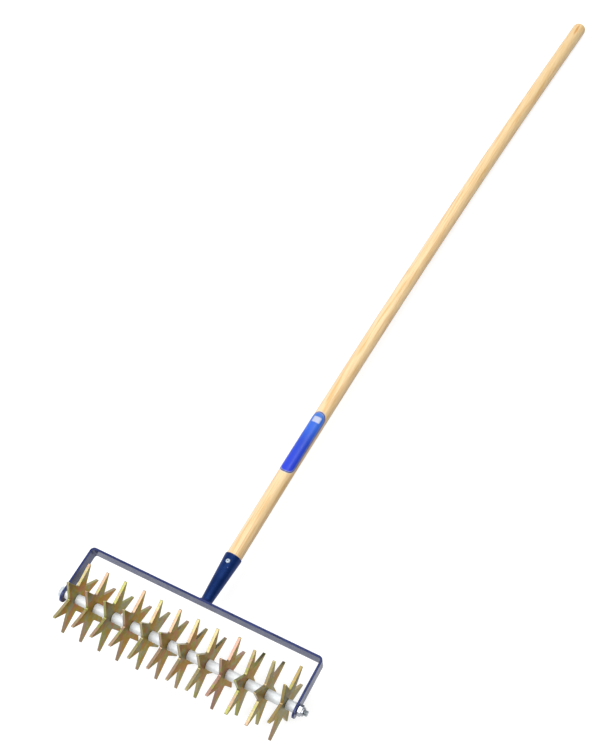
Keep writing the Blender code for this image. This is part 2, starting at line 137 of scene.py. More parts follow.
# How finely the pieces are divided, and the steepest normal on the butt, in radians
ROUND_SEGMENTS = 64
SOCKET_SEGMENTS = 96
RIVET_SEGMENTS = 48
RIVET_CROWN_STEPS = 12
EDGE_STEPS = 3
ARC_STEP_DEG = 25
HEX_SIDE_STEPS = 7
THREAD_STEPS = 16
BEND_STEPS = 14
BAR_END_STEPS = 40
WELD_SEGMENTS = 176
WELD_FACE_STEPS = 8
HANDLE_STEPS = 64
BUTT_STEPS = 12
BUTT_STEEPEST = 1.55
LABEL_TURN_STEP_DEG = 6
LABEL_SIDE_STEPS = 6
LABEL_FIELD_COLUMNS = 6
LABEL_PANEL_COLUMNS = 8

# Where the tool lies
TOOL_TILT_DEG = -2.7364805

# Camera in the tool's frame, fitted to the photograph's outline
CAMERA_PLACE = (0.63191, -0.50109, 1.85324)
CAMERA_AIM = (-0.06373, 0.53909, 0.02419)
CAMERA_UP = (-0.354731, 0.748341, 0.560492)
CAMERA_LENS_MM = 58.741
SENSOR_MM = 36.0

# Light: soft boxes, by place, size and watts, in a white studio whose right side is dim
SOFT_BOXES = {
    "head_box": ((-0.6, -1.62, 2.0), (1.2, 2.35), 31.0),
    "handle_box": ((0.45, 0.75, 2.0), (1.1, 1.5), 21.0),
    "back_box": ((-0.95, 1.45, 2.0), (0.9, 1.2), 8.0),
}
SKY_LEVELS = (0.6, 0.8)
DIM_SIDE_RANGE = (0.05, 0.9)
DIM_SIDE_DEPTH = (0.9, 0.75)
FLOOR_SIZE = 14.0
FLOOR_DROP = 0.0005
FLOOR_WHITE = 0.45
FLOOR_GLOW = 0.72
FLOOR_ROUGHNESS = 0.9

BORE_RADIUS = AXLE_DIAMETER / 2 + SEAT_GAP
YOKE_INNER_WIDTH = (
    STAR_COUNT * STAR_THICKNESS
    + (STAR_COUNT - 1) * SPACER_LENGTH
    + 2 * END_SPACER_LENGTH
    + (2 * STAR_COUNT + 2) * SEAT_GAP
)
NUT_FACE_X = YOKE_INNER_WIDTH / 2 + BAR_THICKNESS + SEAT_GAP
NUT_HEIGHT = NUT_HEX_HEIGHT + COLLAR_HEIGHT
SOCKET_RIM_RADIUS = HANDLE_DIAMETER / 2 + SEAT_GAP + SOCKET_WALL
SOCKET_SLOPE = (SOCKET_RIM_RADIUS - SOCKET_BASE_DIAMETER / 2) / SOCKET_LENGTH
RIVET_BRIM = 1.6 * SEAT_GAP

UP = Vector((0.0, 0.0, 1.0))
Z_TO_X = Matrix.Rotation(math.pi / 2, 4, "Y")
Z_TO_MINUS_X = Matrix.Rotation(-math.pi / 2, 4, "Y")
PLATE_ACROSS_X = Matrix(((0, 0, 1, 0), (1, 0, 0, 0), (0, 1, 0, 0), (0, 0, 0, 1)))


def tool_matrix():
    """The axle gives Y and Z, and the yoke's middle gives X."""
    axle = Vector(frame["joints"][0]["pos_m"])
    low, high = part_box("yoke")
    place = Matrix.Translation(((low.x + high.x) / 2, axle.y, axle.z))
    return place @ Matrix.Rotation(math.radians(TOOL_TILT_DEG), 4, "X")


TOOL = tool_matrix()
LINE_RISE, LINE_LEAN = math.radians(SOCKET_RISE_DEG - 90), math.radians(-SOCKET_LEAN_DEG)
LINE_TURN = Euler((LINE_RISE, 0, LINE_LEAN)).to_matrix()
LINE = TOOL @ Matrix.Translation((0, AXLE_TO_BAR_FACE, 0)) @ LINE_TURN.to_4x4()


def add_object(name, data):
    made = bpy.data.objects.new(name, data)
    bpy.context.scene.collection.objects.link(made)
    return made


class Shell:
    """A mesh of rings of points. Each point has its own normal, so flats stay flat beside round edges."""

    def __init__(self):
        self.points, self.normals, self.faces, self.kinds = [], [], [], []

    def ring(self, pairs):
        start = len(self.points)
        for point, normal in pairs:
            self.points.append(point)
            self.normals.append(normal.normalized())
        return list(range(start, len(self.points)))

    def join(self, lower, upper, kind=0, wrap=True):
        """Faces between two rings of as many points; a ring of one point gives a fan."""
        count = max(len(lower), len(upper))
        for side in range(count if wrap else count - 1):
            after = (side + 1) % count
            corners = [lower[side % len(lower)], lower[after % len(lower)]]
            corners += [upper[after % len(upper)], upper[side % len(upper)]]
            self.face(list(dict.fromkeys(corners)), kind)

    def face(self, corners, kind=0):
        self.faces.append(corners)
        self.kinds.append(kind)

    def skin(self, rings, kind=0, wrap=False):
        for lower, upper in zip(rings, rings[1:] + rings[:1] if wrap else rings[1:]):
            self.join(lower, upper, kind)

    def fill(self, loops, axes="xyz"):
        """A flat face with holes, over rings in one plane. The last of the axes is the one across it."""
        flat = [[getattr(self.points[index], axes) for index in loop] for loop in loops]
        indices = [index for loop in loops for index in loop]
        for corners in tessellate_polygon(flat):
            self.face([indices[corner] for corner in corners])

    def piece(self, name, place, body, finishes, slot=None, node=None):
        """Makes the object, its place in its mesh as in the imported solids."""
        mesh = bpy.data.meshes.new(name)
        mesh.from_pydata([place @ point for point in self.points], [], self.faces)
        mesh.polygons.foreach_set("material_index", self.kinds)
        bm = bmesh.new()
        bm.from_mesh(mesh)
        bmesh.ops.recalc_face_normals(bm, faces=bm.faces[:])
        bm.to_mesh(mesh)
        bm.free()
        mesh.shade_smooth()
        turn = place.to_3x3()
        mesh.normals_split_custom_set_from_vertices([turn @ normal for normal in self.normals])
        for finish in finishes:
            mesh.materials.append(finish)
        made = add_object(name, mesh)
        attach(made, body)
        if node:
            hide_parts(node)


def rounded(corners, closed=True):
    """Turns counter-clockwise (x, y, radius) corners into (point, outward normal) pairs with rounded
    corners. The ends of an open line stay as they are."""
    pairs = []
    places = [Vector(corner[:2]) for corner in corners]
    for index, (_, _, radius) in enumerate(corners):
        corner = places[index]
        if not closed and index in (0, len(corners) - 1):
            along = places[1] - corner if index == 0 else corner - places[-2]
            pairs.append((corner, Vector((along.y, -along.x)).normalized()))
            continue
        back = (places[index - 1] - corner).normalized()
        ahead = (places[(index + 1) % len(corners)] - corner).normalized()
        half = back.angle(ahead) / 2
        centre = corner + (back + ahead).normalized() * radius / math.sin(half)
        start = corner + back * radius / math.tan(half) - centre
        sweep = start.angle_signed(corner + ahead * radius / math.tan(half) - centre)
        outward = 1.0 if back.cross(ahead) < 0 else -1.0
        steps = max(EDGE_STEPS, math.ceil(abs(math.degrees(sweep)) / ARC_STEP_DEG))
        for step in range(steps + 1):
            arm = start @ Matrix.Rotation(sweep * step / steps, 2)
            pairs.append((centre + arm, arm.normalized() * outward))
    return pairs


def circle(radius, segments, centre=(0.0, 0.0), outward=1.0):
    pairs = []
    for step in range(segments):
        angle = 2 * math.pi * step / segments
        arm = Vector((math.cos(angle), math.sin(angle)))
        pairs.append((Vector(centre) + arm * radius, arm * outward))
    return pairs


def lathe(shell, section, segments=ROUND_SEGMENTS, ring=False, shift=None):
    """Spins (radius, height) pairs about Z and returns the rings. Shift gives how far a point is raised."""
    rings = []
    for point, normal in section:
        row = []
        for step in range(segments if point.x > SEAT_GAP / 100 else 1):
            angle = 2 * math.pi * step / segments
            across, along = math.cos(angle), math.sin(angle)
            place = Vector((point.x * across, point.x * along, point.y))
            if shift:
                place.z += shift(place)
            row.append((place, Vector((normal.x * across, normal.x * along, normal.y))))
        rings.append(shell.ring(row))
    shell.skin(rings, wrap=ring)
    return rings


def tube(outer, low, high, rounding):
    """A tube round Z, bored for the axle, with rounded arrises."""
    corners = [(BORE_RADIUS, low), (outer, low), (outer, high), (BORE_RADIUS, high)]
    shell = Shell()
    lathe(shell, rounded([(*corner, rounding) for corner in corners]), ring=True)
    return shell


def rim(shell, loop, thickness, rounding, kind=0, bend=None):
    """A plate's edge with rounded arrises. Returns its first and last ring, on the plate's two flats."""
    rings = []
    for side in (-1.0, 1.0):
        for step in range(EDGE_STEPS + 1):
            angle = math.pi / 2 * (1 - step / EDGE_STEPS if side < 0 else step / EDGE_STEPS)
            inset = rounding * (1 - math.cos(angle))
            height = side * (thickness / 2 - rounding * (1 - math.sin(angle)))
            row = []
            for point, normal in loop:
                flat = point - normal * inset
                lean = Vector((*(normal * math.cos(angle)), side * math.sin(angle)))
                row.append((Vector((*flat, height)), lean))
            rings.append(shell.ring([bend(*pair) for pair in row] if bend else row))
    shell.skin(rings, kind)
    return rings[0], rings[-1]


def star_outline():
    """Rounded tips and filleted roots by turns, with straight flanks between them."""
    step = math.pi / TINE_COUNT
    centre = STAR_TIP_RADIUS - STAR_TIP_ROUNDING
    root = Vector((STAR_ROOT_RADIUS * math.cos(step), STAR_ROOT_RADIUS * math.sin(step)))
    to_root = root - Vector((centre, 0.0))
    half_arc = math.atan2(to_root.y, to_root.x) - math.acos(STAR_TIP_ROUNDING / to_root.length)
    sharp_tip = centre + STAR_TIP_ROUNDING / math.cos(half_arc)
    tine = ((sharp_tip, STAR_TIP_ROUNDING), (STAR_ROOT_RADIUS, STAR_ROOT_FILLET))
    corners = []
    for index, (radius, rounding) in enumerate(tine * TINE_COUNT):
        turn = step * index
        corners.append((radius * math.cos(turn), radius * math.sin(turn), rounding))
    return rounded(corners)


def star_wheel(number, x, turn_deg):
    shell = Shell()
    loops = (star_outline(), circle(BORE_RADIUS, ROUND_SEGMENTS, outward=-1.0))
    edges = [rim(shell, loop, STAR_THICKNESS, STAR_EDGE_ROUNDING, kind=1) for loop in loops]
    for flat in zip(*edges):
        shell.fill(flat)
    turn = Matrix.Rotation(math.radians(turn_deg), 4, "X")
    place = TOOL @ Matrix.Translation((x, 0, 0)) @ turn @ PLATE_ACROSS_X
    finishes = [zinc_yellow(number, place), zinc_edge_and_highlight(number, place)]
    node = f"star_{number:02d}"
    shell.piece(f"wheel_{number:02d}", place, f"{node}_body", finishes, "zinc_yellow", node)


def spacer(number, x, length, finish):
    shell = tube(SPACER_DIAMETER / 2, -length / 2, length / 2, SPACER_EDGE_ROUNDING)
    place = TOOL @ Matrix.Translation((x, 0, 0)) @ Z_TO_X
    node = f"spacer_{number:02d}"
    shell.piece(f"tube_{number:02d}", place, f"{node}_body", [finish], "spacer_steel", node)


def axle_stack(looks):
    x = -YOKE_INNER_WIDTH / 2 + SEAT_GAP
    for number in range(1, STAR_COUNT + 2):
        length = END_SPACER_LENGTH if number in (1, STAR_COUNT + 1) else SPACER_LENGTH
        spacer(number, x + length / 2, length, looks["spacer_steel"])
        x += length + SEAT_GAP
        if number <= STAR_COUNT:
            star_wheel(number, x + STAR_THICKNESS / 2, STAR_TURNS_DEG[number - 1])
            x += STAR_THICKNESS + SEAT_GAP


def hexagon(turn_deg):
    """A hexagon's outline with blunted corners and points along its sides."""
    corner_radius = HEX_WIDTH / math.sqrt(3)
    corners = []
    for corner in range(6):
        angle = math.radians(turn_deg + 60 * corner)
        x, y = corner_radius * math.cos(angle), corner_radius * math.sin(angle)
        corners.append((x, y, HEX_CORNER_ROUNDING))
    pairs = rounded(corners)
    per_corner = len(pairs) // 6
    outline = []
    for index, (point, normal) in enumerate(pairs):
        outline.append((point, normal))
        if index % per_corner == per_corner - 1:
            ahead = pairs[(index + 1) % len(pairs)][0]
            for step in range(1, HEX_SIDE_STEPS):
                outline.append((point.lerp(ahead, step / HEX_SIDE_STEPS), normal))
    return outline


def round_row(outline, radius, height, lean):
    """A circle at the outline's own angles. Lean holds the normal's parts outward and up."""
    row = []
    for point, _ in outline:
        arm = point.normalized()
        row.append((Vector((*(arm * radius), height)), Vector((*(arm * lean[0]), lean[1]))))
    return row


def hex_rows(outline, face_height, up):
    """Rows of a hexagon's chamfered end, from its face to its sides. Up is 1, or -1 for a lower end."""
    slope = math.tan(math.radians(HEX_CHAMFER_DEG))
    face_radius = HEX_WIDTH / 2 - SEAT_GAP
    cone = (slope, up)
    rows = [
        round_row(outline, face_radius - HEX_ARRIS, face_height, (0.0, up)),
        round_row(outline, face_radius + HEX_ARRIS, face_height - up * HEX_ARRIS * slope, cone),
    ]
    inner, outer = [], []
    for point, normal in outline:
        arm, reach = point.normalized(), point.length
        drop = (reach - face_radius) * slope
        place = arm * (reach - HEX_ARRIS)
        inner_height = face_height - up * (drop - HEX_ARRIS * slope)
        outer_height = face_height - up * (drop + HEX_ARRIS)
        inner.append((Vector((*place, inner_height)), Vector((*(arm * slope), up))))
        outer.append((Vector((*point, outer_height)), Vector((*normal, 0.0))))
    return rows + [inner, outer]


def thread_radius(height, angle, start, end):
    """The thread's radius at a height and angle: cut deeper from the start on, and chamfered at the end."""
    phase = (height / THREAD_PITCH - angle / (2 * math.pi)) % 1.0
    depth = min(max(phase - THREAD_CREST, 0.0), THREAD_FLANK, 1.0 - phase) / THREAD_FLANK
    depth *= min(max((start - height) / THREAD_PITCH, 0.0), 1.0)
    chamfer = AXLE_DIAMETER / 2 - AXLE_END_CHAMFER + (height - end)
    return min(AXLE_DIAMETER / 2 - THREAD_DEPTH * depth, chamfer)


def thread_rows(outline, start, end):
    rows = []
    steps = round((start - end) / THREAD_PITCH * THREAD_STEPS)
    nudge = THREAD_PITCH / THREAD_STEPS / 2
    for step in range(steps + 1):
        height = start + (end - start) * step / steps
        row = []
        for point, _ in outline:
            angle = math.atan2(point.y, point.x)
            radius = thread_radius(height, angle, start, end)
            rise = thread_radius(height + nudge, angle, start, end)
            rise -= thread_radius(height - nudge, angle, start, end)
            arm = point.normalized()
            row.append((Vector((*(arm * radius), height)), Vector((*arm, -rise / (2 * nudge)))))
        rows.append(row)
    return rows


def axle_bolt(finish, shaded_thread_finish):
    """Head, shank and threaded end in one, along -Z from the head's flat; the threaded end has a darker
    copy of the steel as painted shade.
    """
    outline = hexagon(90.0 - BOLT_HEAD_TURN_DEG)
    shank = AXLE_DIAMETER / 2
    end = -(2 * NUT_FACE_X + NUT_HEIGHT + AXLE_PAST_NUT)
    foot_side, foot_edge = [], []
    for point, normal in outline:
        foot_side.append((Vector((*point, HEX_ARRIS)), Vector((*normal, 0.0))))
        foot_edge.append((Vector((*(point - normal * HEX_ARRIS), 0.0)), -UP))
    rows = [[(UP * BOLT_HEAD_HEIGHT, UP)]]
    rows += hex_rows(outline, BOLT_HEAD_HEIGHT, 1.0) + [foot_side, foot_edge]
    rows.append(round_row(outline, shank + SEAT_GAP, 0.0, (0.0, -1.0)))
    rows.append(round_row(outline, shank, -SEAT_GAP, (1.0, 0.0)))
    smooth_rows = len(rows)
    rows += thread_rows(outline, end + THREAD_LENGTH, end + HEX_ARRIS / 2)
    rows.append(round_row(outline, shank - AXLE_END_CHAMFER - HEX_ARRIS, end, (0.0, -1.0)))
    rows.append([(UP * end, -UP)])
    shell = Shell()
    rings = [shell.ring(row) for row in rows]
    shell.skin(rings[: smooth_rows + 1])
    shell.skin(rings[smooth_rows:], kind=1)
    place = TOOL @ Matrix.Translation((-NUT_FACE_X, 0, 0)) @ Z_TO_MINUS_X
    shell.piece("hexagon_bolt", place, "frame", [finish, shaded_thread_finish], "bolt_steel", "axle_bolt")


def lock_nut(finish, insert_finish):
    """A hexagon nut, chamfered at both ends, its collar's lip rolled over the nylon ring."""
    outline = hexagon(90.0 + NUT_TURN_DEG)
    seat_end = NUT_HEIGHT - COLLAR_LIP
    seat_start = seat_end - INSERT_LENGTH - 2 * SEAT_GAP
    collar, flat = COLLAR_DIAMETER / 2, HEX_WIDTH / 2 - 2 * SEAT_GAP
    seat = collar - COLLAR_WALL
    lip = seat - COLLAR_LIP
    upper = rounded(
        [
            (flat, NUT_HEX_HEIGHT, 0),
            (collar, NUT_HEX_HEIGHT, SEAT_GAP),
            (collar, NUT_HEIGHT, COLLAR_WALL),
            (lip, NUT_HEIGHT, COLLAR_LIP / 2),
            (lip, seat_end, COLLAR_LIP / 3),
            (seat, seat_end, COLLAR_LIP / 5),
            (seat, seat_start, COLLAR_LIP / 5),
            (BORE_RADIUS, seat_start, COLLAR_LIP / 3),
            (BORE_RADIUS, 0.0, 2 * SEAT_GAP),
            (flat, 0.0, 0),
        ],
        closed=False,
    )
    rows = [round_row(outline, point.x, point.y, normal) for point, normal in upper]
    rows += hex_rows(outline, 0.0, -1.0) + hex_rows(outline, NUT_HEX_HEIGHT, 1.0)[::-1]
    shell = Shell()
    shell.skin([shell.ring(row) for row in rows], wrap=True)
    place = TOOL @ Matrix.Translation((NUT_FACE_X, 0, 0)) @ Z_TO_X
    shell.piece("hexagon_nut", place, "frame", [finish], "nut_steel", "lock_nut")

    shell = tube(seat - SEAT_GAP, seat_start + SEAT_GAP, seat_end - SEAT_GAP, SEAT_GAP)
    shell.piece("nut_ring", place, "frame", [insert_finish], "nylon", "lock_nut_insert")


def yoke(finish):
    """A flat blank with round ends and a hole near each, bent down over two mandrels."""
    half_top = YOKE_INNER_WIDTH / 2 - BEND_RADIUS
    middle_radius = BEND_RADIUS + BAR_THICKNESS / 2
    bend_length = middle_radius * math.pi / 2
    bend_y = AXLE_TO_BAR_FACE - BAR_THICKNESS - BEND_RADIUS
    half_width = BAR_WIDTH / 2
    hole_at = half_top + bend_length + bend_y
    end_centre = hole_at + AXLE_TO_ARM_END - half_width

    def bent(point, normal):
        """Where a point of the flat blank goes, with its normal: X runs along the bar."""
        side = math.copysign(1.0, point.x)
        along, outward = abs(point.x), middle_radius + point.z
        angle = min(max(along - half_top, 0.0) / middle_radius, math.pi / 2)
        past_bend = max(along - half_top - bend_length, 0.0)
        x = min(along, half_top) + outward * math.sin(angle)
        place = Vector((side * x, bend_y + outward * math.cos(angle) - past_bend, point.y))
        away, out = normal.x * side, normal.z
        turned_x = away * math.cos(angle) + out * math.sin(angle)
        turned_y = out * math.cos(angle) - away * math.sin(angle)
        return place, Vector((side * turned_x, turned_y, normal.y))

    bends = [half_top + bend_length * step / BEND_STEPS for step in range(BEND_STEPS + 1)]
    stations = [-x for x in reversed(bends)] + bends

    def round_end(side):
        pairs = []
        for step in range(BAR_END_STEPS + 1):
            angle = math.pi * (step / BAR_END_STEPS - 0.5)
            arm = Vector((side * math.cos(angle), side * math.sin(angle)))
            pairs.append((Vector((side * end_centre, 0.0)) + arm * half_width, arm))
        return pairs

    upper = [(Vector((x, half_width)), Vector((0.0, 1.0))) for x in reversed(stations)]
    lower = [(Vector((x, -half_width)), Vector((0.0, -1.0))) for x in stations]
    loop = round_end(1.0) + upper + round_end(-1.0) + lower
    shell = Shell()
    edges = rim(shell, loop, BAR_THICKNESS, BAR_EDGE_ROUNDING, bend=bent)
    holes = []
    for side in (1.0, -1.0):
        hole = circle(BORE_RADIUS, ROUND_SEGMENTS, (side * hole_at, 0.0), -1.0)
        holes.append(rim(shell, hole, BAR_THICKNESS, BAR_EDGE_ROUNDING, bend=bent))
    ends, count = BAR_END_STEPS + 1, len(stations)
    for flat, edge in enumerate(edges):
        right, left = edge[:ends], edge[ends + count : 2 * ends + count]
        top, foot = edge[ends : ends + count], edge[2 * ends + count :]
        shell.join(top, foot[::-1], wrap=False)
        shell.fill(([foot[-1]] + right + [top[0]], holes[0][flat]), axes="zyx")
        shell.fill(([top[-1]] + left + [foot[0]], holes[1][flat]), axes="zyx")
    shell.piece("bent_bar", TOOL, "frame", [finish], "blue_paint", "yoke")


def socket_radius(height):
    return SOCKET_BASE_DIAMETER / 2 + SOCKET_SLOPE * height


def bar_level(place):
    """How high the bar's face stands over this point of the handle's line, fading out up the socket."""
    across, up, along = LINE_TURN[1]
    level = (SEAT_GAP - across * place.x - up * place.y) / along
    return level * max(0.0, 1 - place.z / SOCKET_LENGTH)


def socket(finish):
    rim_radius, wall = SOCKET_RIM_RADIUS, SOCKET_WALL
    corners = [
        (socket_radius(0.0) - wall, 0.0, SEAT_GAP),
        (socket_radius(0.0), 0.0, SEAT_GAP),
        (rim_radius, SOCKET_LENGTH, wall / 3),
        (rim_radius - wall, SOCKET_LENGTH, wall / 3),
    ]
    shell = Shell()
    lathe(shell, rounded(corners), SOCKET_SEGMENTS, ring=True, shift=bar_level)
    shell.piece("cone_socket", LINE, "frame", [finish], "blue_paint", "socket")


def weld_ripple(angle):
    """The ripples' height at an angle round the foot: unevenly spaced, over slower swells."""
    uneven = 0.8 * math.sin(3 * angle)
    swell = 0.25 * math.sin(7 * angle + 1)
    return WELD_RIPPLE_HEIGHT * (0.5 * math.sin(WELD_RIPPLES * angle + uneven) + swell)


def weld_bead(finish):
    """A fillet of weld round the socket's foot, rippled, and narrower where it meets the bar's edges."""
    shell = Shell()
    rings = []
    foot_radius = socket_radius(0.0) + SEAT_GAP
    for step in range(WELD_SEGMENTS):
        angle = 2 * math.pi * step / WELD_SEGMENTS
        across, up = math.cos(angle), math.sin(angle)
        ripple = weld_ripple(angle)
        leg = WELD_LEG - WELD_RIPPLE_HEIGHT + ripple
        reach = min(leg, (BAR_WIDTH / 2 - SEAT_GAP) / max(abs(up), 0.01) - foot_radius)
        bulge = WELD_BULGE * leg + WELD_RIPPLE_BULGE * ripple
        out = Vector((leg, reach)).normalized()
        down = Vector((reach, -leg)).normalized()
        row = [(Vector((foot_radius, 0.0)), Vector((-1.0, -1.0)))]
        for part in range(WELD_FACE_STEPS + 1):
            along = part / WELD_FACE_STEPS
            place = Vector((foot_radius + reach * (1 - along), leg * along))
            place += out * bulge * math.sin(math.pi * along)
            row.append((place, out + down * WELD_FACE_ROUNDING * math.cos(math.pi * along)))
        ring = []
        for flat, lean in row:
            place = Vector((flat.x * across, flat.x * up, flat.y))
            place.z += bar_level(place)
            ring.append((place, Vector((lean.x * across, lean.x * up, lean.y))))
        rings.append(shell.ring(ring))
    shell.skin(rings, wrap=True)
    shell.piece("ripple_bead", LINE, "frame", [finish], "weld_paint", "weld_bead")


def handle_frame(height):
    """The handle's own frame at a height on its line: past the socket it bows to the side."""
    length = max(height - SOCKET_LENGTH, 0.0)
    bow = HANDLE_BOW * (length / HANDLE_FREE_LENGTH) ** 2
    lean = math.atan(2 * HANDLE_BOW * length / HANDLE_FREE_LENGTH**2)
    return Matrix.Translation((bow, 0.0, height)) @ Matrix.Rotation(lean, 4, "Y")


def handle_stations():
    """Heights up the handle, each with its radius there and how much its surface faces up the handle."""
    radius, seat = HANDLE_DIAMETER / 2, SOCKET_LENGTH - HANDLE_SEAT_LENGTH
    seat_radius = socket_radius(seat) - SOCKET_WALL - SEAT_GAP
    stations = [
        (seat, 0.0, -1.0),
        (seat, seat_radius - SEAT_GAP, -1.0),
        (seat + SEAT_GAP, seat_radius, 0.0),
    ]
    dome_start = SOCKET_LENGTH + HANDLE_FREE_LENGTH - HANDLE_BUTT_ROUNDING
    for step in range(HANDLE_STEPS + 1):
        height = SOCKET_LENGTH + (dome_start - SOCKET_LENGTH) * step / HANDLE_STEPS
        stations.append((height, radius, 0.0))
    for step in range(1, BUTT_STEPS + 1):
        angle = math.pi / 2 * step / BUTT_STEPS
        height = dome_start + HANDLE_BUTT_ROUNDING * math.sin(angle)
        rise = math.tan(min(angle, BUTT_STEEPEST)) * radius / HANDLE_BUTT_ROUNDING
        stations.append((height, radius * math.cos(angle), rise))
    return stations


def handle(finish):
    shell = Shell()
    rings = []
    for height, radius, rise in handle_stations():
        place = handle_frame(height)
        turn = place.to_3x3()
        on_line = radius < SEAT_GAP
        row = []
        for point, normal in circle(radius, 1 if on_line else ROUND_SEGMENTS):
            lean = UP * rise if on_line else Vector((*normal, rise))
            row.append((place @ Vector((*point, 0.0)), turn @ lean))
        rings.append(shell.ring(row))
    shell.skin(rings)
    shell.piece("turned_handle", LINE, "frame", [finish], "ash_wood", "handle")


def label_side(inset):
    """The film's right side, drawn in by the inset, from foot to head, in (arc, height) pairs."""
    half, rounding = LABEL_HALF_WIDTH - inset, LABEL_FOOT_ROUNDING - inset
    foot, head = LABEL_START + LABEL_FOOT_ROUNDING, LABEL_END - LABEL_HALF_WIDTH
    turns = [math.radians(degrees) for degrees in range(0, 90, LABEL_TURN_STEP_DEG)]
    side = [(half - rounding * (1 - math.sin(turn)), foot - rounding * math.cos(turn)) for turn in turns]
    for step in range(LABEL_SIDE_STEPS + 1):
        side.append((half, foot + (LABEL_PANEL_START - foot) * step / LABEL_SIDE_STEPS))
    inner_half = LABEL_HALF_WIDTH - LABEL_EDGE - LABEL_LINE
    turns = sorted(turns + [math.asin((LABEL_PANEL_END - head) / inner_half)])
    return side + [(half * math.cos(turn), head + half * math.sin(turn)) for turn in turns]


def label_arcs(half):
    """Arcs across the film, two of them on the panel's sides, closer where the film is narrow."""
    side = min(LABEL_PANEL_HALF_WIDTH, half * LABEL_PANEL_SHARE)
    left = [-half + (half - side) * step / LABEL_FIELD_COLUMNS for step in range(LABEL_FIELD_COLUMNS)]
    panel = [side * (2 * step / LABEL_PANEL_COLUMNS - 1) for step in range(LABEL_PANEL_COLUMNS + 1)]
    return left + panel + [-arc for arc in reversed(left)]


def film_ring(shell, pairs, lift):
    """A ring of the film's points, so far over the handle's surface, or facing inward under it."""
    row = []
    for arc, height in pairs:
        place, angle = handle_frame(height), arc / (HANDLE_DIAMETER / 2)
        arm = Vector((math.sin(angle), -math.cos(angle), 0.0))
        normal = place.to_3x3() @ arm * math.copysign(1.0, lift)
        row.append((place @ (arm * (HANDLE_DIAMETER / 2 + lift)), normal))
    return shell.ring(row)


def film_loop(shell, inset, lift):
    side = label_side(inset)
    (foot_half, foot), (head_half, head) = side[0], side[-1]
    pairs = [(arc, foot) for arc in label_arcs(foot_half)] + side[1:-1]
    pairs += [(arc, head) for arc in reversed(label_arcs(head_half))]
    pairs += [(-arc, height) for arc, height in reversed(side[1:-1])]
    return film_ring(shell, pairs, lift)


def film_sheet(shell, inset, lift, field, panel):
    """Fills a loop of the film with rows across it. Returns the loop."""
    loop = film_loop(shell, inset, lift)
    side, across = label_side(inset), len(label_arcs(1.0))
    rows = [loop[:across]]
    for index, (half, height) in enumerate(side[1:-1], 1):
        inner = film_ring(shell, [(arc, height) for arc in label_arcs(half)[1:-1]], lift)
        rows.append([loop[-index]] + inner + [loop[across - 1 + index]])
    head = across + len(side) - 2
    rows.append(loop[head : head + across][::-1])
    panel_columns = range(LABEL_FIELD_COLUMNS, LABEL_FIELD_COLUMNS + LABEL_PANEL_COLUMNS)
    for (_, low), (_, high), lower, upper in zip(side, side[1:], rows, rows[1:]):
        in_panel = low >= LABEL_PANEL_START - SEAT_GAP and high <= LABEL_PANEL_END + SEAT_GAP
        for column in range(across - 1):
            corners = [lower[column], lower[column + 1], upper[column + 1], upper[column]]
            shell.face(corners, panel if in_panel and column in panel_columns else field)
    return loop


def label(looks):
    """A film round the handle's upper side: pale margin, dark edge, pale line, blue field, pale panel."""
    names = ("label_blue", "label_margin", "label_edge", "label_line", "label_panel")
    field, margin, edge, line, panel = range(len(names))
    shell = Shell()
    loops = [film_sheet(shell, -LABEL_MARGIN, -LABEL_THICKNESS, margin, margin)]
    loops += [film_loop(shell, inset, LABEL_THICKNESS) for inset in (-LABEL_MARGIN, 0.0, LABEL_EDGE)]
    loops.append(film_sheet(shell, LABEL_EDGE + LABEL_LINE, LABEL_THICKNESS, field, panel))
    for kind, lower, upper in zip((margin, margin, edge, line), loops, loops[1:]):
        shell.join(lower, upper, kind)
    shell.piece("label_film", LINE, "frame", [looks[name] for name in names])


def rivet(finish, eye_shade_finish):
    """Shank, thin brim and domed crown, with an eye sunk in its top whose floor is painted dark as painted
    shade.
    """
    eye, head, shank = RIVET_EYE_DIAMETER / 2, RIVET_HEAD_DIAMETER / 2, RIVET_SHANK_DIAMETER / 2
    height = SOCKET_LENGTH - RIVET_FROM_RIM
    section = rounded(
        [
            (0.0, -RIVET_SHANK_LENGTH, 0),
            (shank, -RIVET_SHANK_LENGTH, SEAT_GAP),
            (shank, SEAT_GAP, SEAT_GAP / 3),
            (head, SEAT_GAP, SEAT_GAP / 3),
            (head, RIVET_BRIM, SEAT_GAP / 6),
            (head - SEAT_GAP / 2, RIVET_BRIM + SEAT_GAP * 0.3, 0),
        ],
        closed=False,
    )
    crown_rise = RIVET_HEAD_HEIGHT + SEAT_GAP - RIVET_BRIM
    for step in range(1, RIVET_CROWN_STEPS + 1):
        angle = math.acos(eye / head) * step / RIVET_CROWN_STEPS
        point = Vector((head * math.cos(angle), RIVET_BRIM + crown_rise * math.sin(angle)))
        lean = Vector((math.cos(angle) * RIVET_HEAD_HEIGHT, math.sin(angle) * head))
        if point.x < section[-1][0].x:
            section.append((point, lean.normalized()))
    top = section[-1][0].y
    floor = top - RIVET_EYE_DEPTH
    section.append((Vector((eye - SEAT_GAP / 3, top - SEAT_GAP / 3)), Vector((-1.0, 0.0))))
    shell = Shell()
    mouth = lathe(shell, section, RIVET_SEGMENTS)[-1]
    arms = [shell.points[index].xy.normalized() * eye * RIVET_EYE_TAPER for index in mouth]
    inner = shell.ring([(Vector((*arm, floor)), UP) for arm in arms])
    shell.join(mouth, inner, kind=1)
    shell.join(inner, shell.ring([(UP * floor, UP)]), kind=1)
    lean = Matrix.Rotation(math.pi / 2 + math.atan(SOCKET_SLOPE), 4, "X")
    place = LINE @ Matrix.Translation((0.0, -socket_radius(height), height)) @ lean
    shell.piece("dome_rivet", place, "frame", [finish, eye_shade_finish], "rivet_steel", "handle_rivet")


